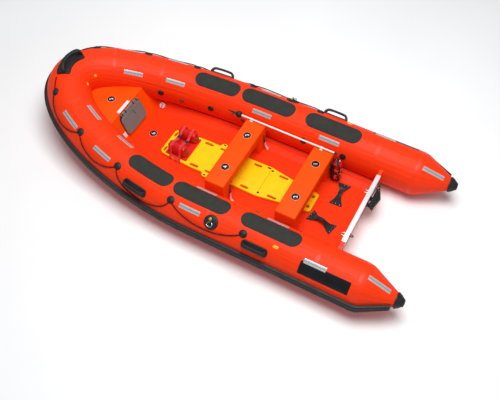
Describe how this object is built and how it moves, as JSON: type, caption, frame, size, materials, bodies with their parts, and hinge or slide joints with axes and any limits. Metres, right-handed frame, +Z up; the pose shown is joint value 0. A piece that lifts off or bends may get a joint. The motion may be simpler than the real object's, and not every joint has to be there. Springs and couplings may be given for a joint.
{
  "type": "inshore rescue boat",
  "caption": "Rigid inflatable inshore rescue boat with a U-shaped buoyancy tube, V-hull, cross thwarts, a bow locker with a hinged hatch, grab lines and a folding stretcher; no engine.",
  "frame": {"origin": "on the centreline amidships, at the waterline, which is at the underside of the tubes", "axes": "+X towards the bow, +Y to port, +Z up"},
  "size_m": [4.6083, 2.0958, 1.064],
  "materials": {
    "tube_skin": "satin orange-red coated fabric",
    "black_rubber": "matt black moulded rubber",
    "gelcoat": "orange gelcoat",
    "bench_gelcoat": "orange gelcoat",
    "alloy_cap": "pale anodised",
    "hatch_trim": "black plastic",
    "hatch_plastic": "grey plastic",
    "stainless": "polished stainless steel",
    "anti_slip_pad": "dark grey anti-slip",
    "rope": "black rope and rubber patches",
    "board_plastic": "yellow polyethylene",
    "red_foam": "red vinyl-coated foam",
    "red_paint": "gloss red paint",
    "webbing": "black webbing",
    "white_plastic": "white plastic, with steel U-bolts on the lifting eyes"
  },
  "bodies": {
    "boat": {"tube_port": "tube_skin", "tube_starboard": "tube_skin", "tube_bow": "tube_skin", "cone_cap_port": "black_rubber", "cone_cap_starboard": "black_rubber", "strake_port": "black_rubber", "strake_starboard": "black_rubber", "handle_port_aft": "black_rubber", "handle_port_forward": "black_rubber", "handle_starboard_aft": "black_rubber", "handle_starboard_forward": "black_rubber", "bow_handle": "black_rubber", "ring_patch_port": "black_rubber", "ring_patch_starboard": "black_rubber", "boarding_step": "black_rubber", "stern_eye": "black_rubber", "hull": "gelcoat", "sole": "gelcoat", "transom": "gelcoat", "thwart_aft": "bench_gelcoat", "thwart_forward": "bench_gelcoat", "bow_locker": "bench_gelcoat", "transom_cap": "alloy_cap", "hatch_rim": "hatch_trim", "boathook_clip_aft": "hatch_trim", "boathook_clip_forward": "hatch_trim", "boathook_head": "hatch_trim", "extinguisher_head": "hatch_trim", "extinguisher_bracket": "hatch_trim", "hatch_pin_port": "stainless", "hatch_pin_starboard": "stainless", "ring_port": "stainless", "ring_starboard": "stainless", "pad_port_aft": "anti_slip_pad", "pad_port_middle": "anti_slip_pad", "pad_port_forward": "anti_slip_pad", "pad_starboard_aft": "anti_slip_pad", "pad_starboard_middle": "anti_slip_pad", "pad_starboard_forward": "anti_slip_pad", "grab_line_port": "rope", "grab_line_starboard": "rope", "stretcher_foot": "board_plastic", "stretcher_head": "board_plastic", "head_pad": "red_foam", "head_block_port": "red_foam", "head_block_starboard": "red_foam", "extinguisher_bottle": "red_paint", "foot_strap_port": "webbing", "foot_strap_starboard": "webbing", "boathook_shaft": "white_plastic", "lifting_eye_bow_port": "white_plastic", "lifting_eye_bow_starboard": "white_plastic", "lifting_eye_stern_port": "white_plastic", "lifting_eye_stern_starboard": "white_plastic"},
    "hatch": {"hatch_lid": "hatch_plastic"}
  },
  "joints": [
    {"name": "hatch_hinge", "type": "hinge", "parent": "boat", "child": "hatch", "pos_m": [1.316, 0, 0.38942], "axis": [0, 1, 0], "range_deg": [0, 105]}
  ]
}
